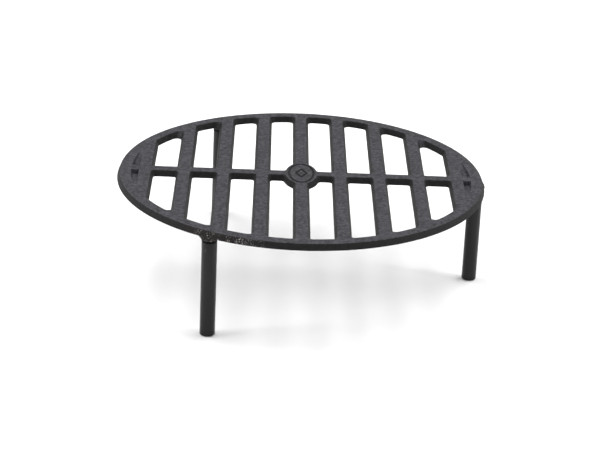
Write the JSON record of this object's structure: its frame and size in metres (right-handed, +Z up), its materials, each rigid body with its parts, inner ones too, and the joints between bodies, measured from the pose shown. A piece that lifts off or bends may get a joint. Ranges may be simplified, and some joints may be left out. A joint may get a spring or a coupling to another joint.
{
  "type": "round hearth grate",
  "caption": "Round cast-iron grate with parallel bars, a cross-bar and an oval medallion, standing on screw-in round legs.",
  "frame": {"origin": "on the floor, under the middle of the plate", "axes": "+Z up; X along the cross-bar, with one leg at its +X end; Y along the bars"},
  "size_m": [0.4004, 0.4, 0.118],
  "materials": {
    "cast_plate": "sand-cast, satin black",
    "leg_paint": "semi-gloss black paint on steel rod",
    "stud_steel": "plain steel thread, oiled",
    "washer_steel": "black oxide"
  },
  "bodies": {
    "grate": {"grate_plate": "cast_plate"},
    "right_washer": {"right_leg_washer": "washer_steel"},
    "right_leg": {"right_leg": "leg_paint", "right_leg_stud": "stud_steel"},
    "back_left_washer": {"back_left_leg_washer": "washer_steel"},
    "back_left_leg": {"back_left_leg": "leg_paint", "back_left_leg_stud": "stud_steel"},
    "front_left_washer": {"front_left_leg_washer": "washer_steel"},
    "front_left_leg": {"front_left_leg": "leg_paint", "front_left_leg_stud": "stud_steel"}
  },
  "joints": [
    {"name": "right_leg_travel", "type": "slide", "parent": "grate", "child": "right_washer", "axis": [0, 0, -1], "range_m": [0, 0.00875]},
    {"name": "right_leg_turn", "type": "hinge", "parent": "right_washer", "child": "right_leg", "pos_m": [0.191, 0, 0.1], "axis": [0, 0, -1], "range_deg": [0, 2520]},
    {"name": "back_left_leg_travel", "type": "slide", "parent": "grate", "child": "back_left_washer", "axis": [0, 0, -1], "range_m": [0, 0.00875]},
    {"name": "back_left_leg_turn", "type": "hinge", "parent": "back_left_washer", "child": "back_left_leg", "pos_m": [-0.09318, 0.16673, 0.1], "axis": [0, 0, -1], "range_deg": [0, 2520]},
    {"name": "front_left_leg_travel", "type": "slide", "parent": "grate", "child": "front_left_washer", "axis": [0, 0, -1], "range_m": [0, 0.00875]},
    {"name": "front_left_leg_turn", "type": "hinge", "parent": "front_left_washer", "child": "front_left_leg", "pos_m": [-0.09318, -0.16673, 0.1], "axis": [0, 0, -1], "range_deg": [0, 2520]}
  ],
  "couplings": [
    {"joint": "right_leg_turn", "follows": "right_leg_travel", "rad_per_m": 5026.5},
    {"joint": "back_left_leg_turn", "follows": "back_left_leg_travel", "rad_per_m": 5026.5},
    {"joint": "front_left_leg_turn", "follows": "front_left_leg_travel", "rad_per_m": 5026.5}
  ]
}
